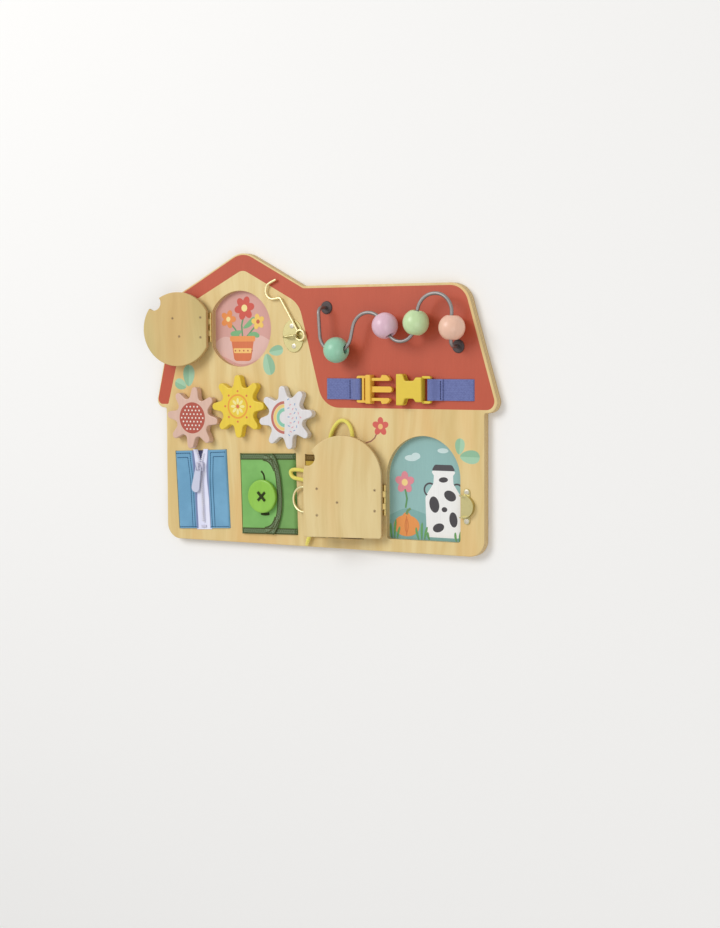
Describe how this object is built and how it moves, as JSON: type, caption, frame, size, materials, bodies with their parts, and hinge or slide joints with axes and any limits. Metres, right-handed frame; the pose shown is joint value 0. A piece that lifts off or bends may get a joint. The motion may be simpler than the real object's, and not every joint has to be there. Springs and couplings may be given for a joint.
{
  "type": "busy board",
  "caption": "Barn-shaped plywood play board with two hinged doors, draw latch, hook and eye, meshing gears, bead maze, strap buckle, zip, button flap and lace bow.",
  "frame": {"origin": "middle of the back face that lies on the table", "axes": "+X along the board's length to the right, +Y up the board towards the roof's peak, +Z out of the play face"},
  "size_m": [0.4016, 0.2967, 0.0373],
  "materials": {
    "back_ply": "bare plywood, lightly sanded",
    "front_ply": "clear-lacquered plywood with printed decoration",
    "door_ply": "clear-lacquered plywood",
    "brass": "brass-plated, satin",
    "zinc_screw": "zinc-plated",
    "zinc": "pale brass-plated, satin",
    "puller_enamel": "enamelled metal",
    "maze_steel": "plated wire",
    "grommet_rubber": "dark brown, satin",
    "bead_green": "painted, satin",
    "bead_pink": "painted, satin",
    "bead_lime": "painted, satin",
    "bead_peach": "painted, satin",
    "gear_pink": "painted, satin",
    "gear_sun": "painted, satin",
    "gear_white": "painted, satin",
    "beech": "turned, bare",
    "buckle_plastic": "moulded, satin gloss",
    "webbing": "woven",
    "blue_cloth": "woven twill",
    "zip_tape": "woven tape",
    "zip_teeth": "moulded",
    "green_cloth": "felt-like",
    "lime_wood": "painted, satin",
    "thread": "twisted",
    "mustard_cloth": "woven, overlocked edges",
    "lace": "round braid"
  },
  "bodies": {
    "board": {"back_panel": "back_ply", "front_panel": "front_ply", "round_hinge_board_leaf": "brass", "round_hinge_pin": "brass", "arch_hinge_board_leaf": "brass", "arch_hinge_pin": "brass", "board_screws": "zinc_screw", "maze_push_nuts": "zinc_screw", "hook_plate": "zinc", "latch_catch": "zinc", "zip_stop": "zinc", "maze_wire": "maze_steel", "maze_grommets": "grommet_rubber", "gear_washers": "beech", "strap_left": "webbing", "strap_right": "webbing", "zip_cloth": "blue_cloth", "zip_tape": "zip_tape", "zip_teeth": "zip_teeth", "button_cloth": "green_cloth", "button_flap": "green_cloth", "wooden_button": "lime_wood", "button_thread": "thread", "lace_cloth": "mustard_cloth", "lace_flaps": "mustard_cloth", "lace_knot": "lace", "lace_loop_left": "lace", "lace_loop_up": "lace", "lace_tail_left": "lace", "lace_tail_right": "lace"},
    "round_door_body": {"round_door": "door_ply", "round_hinge_door_leaf": "brass", "eye_plate": "zinc", "round_door_screws": "zinc_screw"},
    "arch_door_body": {"arch_door": "door_ply", "arch_hinge_door_leaf": "brass", "arch_door_screws": "zinc_screw", "latch_base": "zinc", "latch_pin": "zinc"},
    "lever_body": {"latch_lever": "zinc"},
    "bail_body": {"latch_bail": "zinc"},
    "hook_body": {"wire_hook": "zinc"},
    "sun_gear_body": {"sun_gear": "gear_sun", "sun_gear_axle": "beech"},
    "pink_gear_body": {"pink_gear": "gear_pink", "pink_gear_axle": "beech"},
    "white_gear_body": {"white_gear": "gear_white", "white_gear_axle": "beech"},
    "green_bead_body": {"green_bead": "bead_green"},
    "pink_bead_body": {"pink_bead": "bead_pink"},
    "lime_bead_body": {"lime_bead": "bead_lime"},
    "peach_bead_body": {"peach_bead": "bead_peach"},
    "buckle_male_body": {"buckle_male": "buckle_plastic", "buckle_male_arms": "buckle_plastic"},
    "buckle_female_body": {"buckle_female": "buckle_plastic"},
    "zip_slider_body": {"zip_slider": "puller_enamel"},
    "zip_puller_body": {"zip_puller": "puller_enamel"}
  },
  "joints": [
    {"name": "round_door_hinge", "type": "hinge", "parent": "board", "child": "round_door_body", "pos_m": [-0.1297, 0.0741, 0.0108], "axis": [0, 1, 0], "range_deg": [0, 168.8]},
    {"name": "arch_door_hinge", "type": "hinge", "parent": "board", "child": "arch_door_body", "pos_m": [0.0783, -0.0968, 0.0108], "axis": [0, 1, 0], "range_deg": [0, 166.5]},
    {"name": "latch_lever_hinge", "type": "hinge", "parent": "arch_door_body", "child": "lever_body", "pos_m": [0.00807, -0.0994, 0.0254], "axis": [0, -1, 0], "range_deg": [0, 76.5]},
    {"name": "latch_bail_hinge", "type": "hinge", "parent": "lever_body", "child": "bail_body", "pos_m": [0.00881, -0.0994, 0.01693], "axis": [0, -1, 0], "range_deg": [-98.22, 0.01]},
    {"name": "hook_swing", "type": "hinge", "parent": "board", "child": "hook_body", "pos_m": [-0.01885, 0.0654, 0.012], "axis": [0, 0, 1], "range_deg": [-61, 49]},
    {"name": "sun_gear_spin", "type": "hinge", "parent": "board", "child": "sun_gear_body", "pos_m": [-0.0912, -0.0068, 0.0143], "axis": [0, 0, 1], "continuous": true},
    {"name": "pink_gear_spin", "type": "hinge", "parent": "board", "child": "pink_gear_body", "pos_m": [-0.14892, -0.01949, 0.0143], "axis": [0, 0, 1], "continuous": true},
    {"name": "white_gear_spin", "type": "hinge", "parent": "board", "child": "white_gear_body", "pos_m": [-0.03303, -0.01727, 0.0143], "axis": [0, 0, 1], "continuous": true},
    {"name": "green_bead_travel", "type": "hinge", "parent": "board", "child": "green_bead_body", "pos_m": [0.031, 0.0665, 0.025], "axis": [0, 0, 1], "range_deg": [-50, 38]},
    {"name": "pink_bead_travel", "type": "slide", "parent": "board", "child": "pink_bead_body", "axis": [0.5281, -0.8492, 0], "range_m": [-0.0015, 0.0055]},
    {"name": "lime_bead_travel", "type": "slide", "parent": "board", "child": "lime_bead_body", "axis": [0.2027, 0.9792, 0], "range_m": [-0.002, 0.0085]},
    {"name": "peach_bead_travel", "type": "slide", "parent": "board", "child": "peach_bead_body", "axis": [0.0397, 0.9992, 0], "range_m": [-0.001, 0.007]},
    {"name": "buckle_male_slide", "type": "slide", "parent": "board", "child": "buckle_male_body", "axis": [1, 0, 0], "range_m": [0, 0.0142], "deforming": ["strap_left", "buckle_male_arms"]},
    {"name": "buckle_female_slide", "type": "slide", "parent": "board", "child": "buckle_female_body", "axis": [-1, 0, 0], "range_m": [0, 0.0142], "deforming": ["strap_right", "buckle_male_arms"]},
    {"name": "zip_slider_travel", "type": "slide", "parent": "board", "child": "zip_slider_body", "axis": [0.0506, -0.9987, 0], "range_m": [0, 0.056]},
    {"name": "zip_puller_hinge", "type": "hinge", "parent": "zip_slider_body", "child": "zip_puller_body", "pos_m": [-0.14411, -0.07033, 0.0145], "axis": [-0.9699, 0.2436, 0], "range_deg": [0, 160]}
  ],
  "couplings": [
    {"joint": "pink_gear_spin", "follows": "sun_gear_spin", "ratio": -1},
    {"joint": "white_gear_spin", "follows": "sun_gear_spin", "ratio": -1},
    {"joint": "latch_bail_hinge", "follows": "latch_lever_hinge", "ratio": -1.2838}
  ]
}
